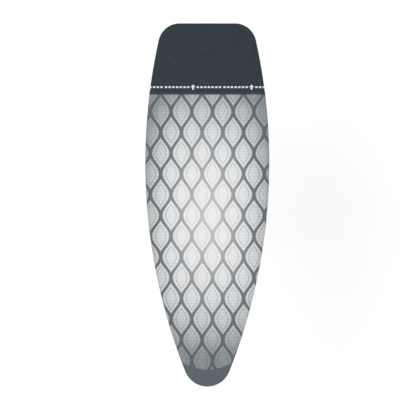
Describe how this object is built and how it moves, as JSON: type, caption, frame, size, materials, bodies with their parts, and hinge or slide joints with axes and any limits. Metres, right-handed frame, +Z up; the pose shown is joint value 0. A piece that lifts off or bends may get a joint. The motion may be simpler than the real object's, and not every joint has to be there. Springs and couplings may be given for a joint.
{
  "type": "ironing board",
  "caption": "Folding ironing board: padded fabric top with a dark heat-resistant heel on a mesh frame, and scissor legs that lock at any height.",
  "frame": {"origin": "on the floor under the middle of the board, at its highest setting", "axes": "+X across the board, +Y to the square heel, -Y to the round nose, +Z up"},
  "size_m": [0.461, 1.35, 0.95],
  "materials": {
    "cover_print": "matte",
    "cover_heat": "matte",
    "foam": "matte",
    "felt": "matte",
    "hem_tape": "matte",
    "elastic": "matte",
    "mesh_steel": "satin",
    "frame_paint": "satin",
    "leg_paint": "satin",
    "zinc_steel": "satin",
    "dark_plastic": "matte",
    "grip_plastic": "matte",
    "bush_plastic": "satin"
  },
  "bodies": {
    "board": {"rim_tube": "frame_paint", "mesh_panel": "mesh_steel", "heel_brace": "frame_paint", "mid_brace": "frame_paint", "nose_brace": "frame_paint", "rail_left": "frame_paint", "rail_right": "frame_paint", "rail_rivets": "zinc_steel", "bracket_rivets": "zinc_steel", "lock_bar": "zinc_steel", "lock_bracket_heel": "frame_paint", "lock_bracket_nose": "frame_paint", "hinge_bracket_left": "frame_paint", "hinge_bracket_right": "frame_paint", "hinge_pin_left": "zinc_steel", "hinge_pin_right": "zinc_steel", "hook_bracket": "frame_paint", "hook_pin": "zinc_steel", "felt_pad": "felt", "foam_pad": "foam", "cover_main": "cover_print", "cover_heat_zone": "cover_heat", "hem_binding": "hem_tape", "elastic_cord": "elastic"},
    "outer_leg": {"outer_leg_tube_left": "leg_paint", "outer_leg_tube_right": "leg_paint", "outer_foot_bar": "leg_paint", "outer_foot_cap_left": "dark_plastic", "outer_foot_cap_right": "dark_plastic", "outer_leg_plugs": "dark_plastic", "pivot_bolt_left": "zinc_steel", "pivot_bolt_right": "zinc_steel", "pivot_nut_left": "zinc_steel", "pivot_nut_right": "zinc_steel", "pivot_spacer_left": "dark_plastic", "pivot_spacer_right": "dark_plastic"},
    "inner_leg": {"inner_leg_tube_left": "leg_paint", "inner_leg_tube_right": "leg_paint", "inner_foot_bar": "leg_paint", "inner_foot_cap_left": "dark_plastic", "inner_foot_cap_right": "dark_plastic", "inner_crossbar": "leg_paint", "inner_leg_plugs": "dark_plastic"},
    "slider": {"slide_rod": "zinc_steel", "slide_rod_caps": "zinc_steel", "slide_bush_left": "bush_plastic", "slide_bush_right": "bush_plastic", "carriage": "dark_plastic", "lever_pin": "zinc_steel", "lever_spring": "zinc_steel"},
    "release_lever": {"release_lever": "zinc_steel", "lever_grip": "grip_plastic"},
    "transport_hook": {"transport_hook": "dark_plastic"}
  },
  "joints": [
    {"name": "leg_fold", "type": "hinge", "parent": "board", "child": "outer_leg", "pos_m": [0, 0.465, 0.89055], "axis": [-1, 0, 0], "range_deg": [0, 52.7]},
    {"name": "leg_cross", "type": "hinge", "parent": "outer_leg", "child": "inner_leg", "pos_m": [0, 0.18623, 0.52464], "axis": [1, 0, 0], "range_deg": [0, 105.4]},
    {"name": "slider_swivel", "type": "hinge", "parent": "inner_leg", "child": "slider", "pos_m": [0, -0.09253, 0.89055], "axis": [-1, 0, 0], "range_deg": [0, 52.7]},
    {"name": "release_lever", "type": "hinge", "parent": "slider", "child": "release_lever", "pos_m": [0, -0.11653, 0.88855], "axis": [1, 0, 0], "range_deg": [0, 8], "stiffness_Nm_per_rad": 2, "springref_deg": -5.73, "deforming": ["lever_spring"]},
    {"name": "transport_hook", "type": "hinge", "parent": "board", "child": "transport_hook", "pos_m": [0, 0.465, 0.9096], "axis": [1, 0, 0], "range_deg": [0, 90]}
  ],
  "couplings": [
    {"joint": "leg_cross", "follows": "leg_fold", "ratio": 2},
    {"joint": "slider_swivel", "follows": "leg_fold", "ratio": 1}
  ]
}
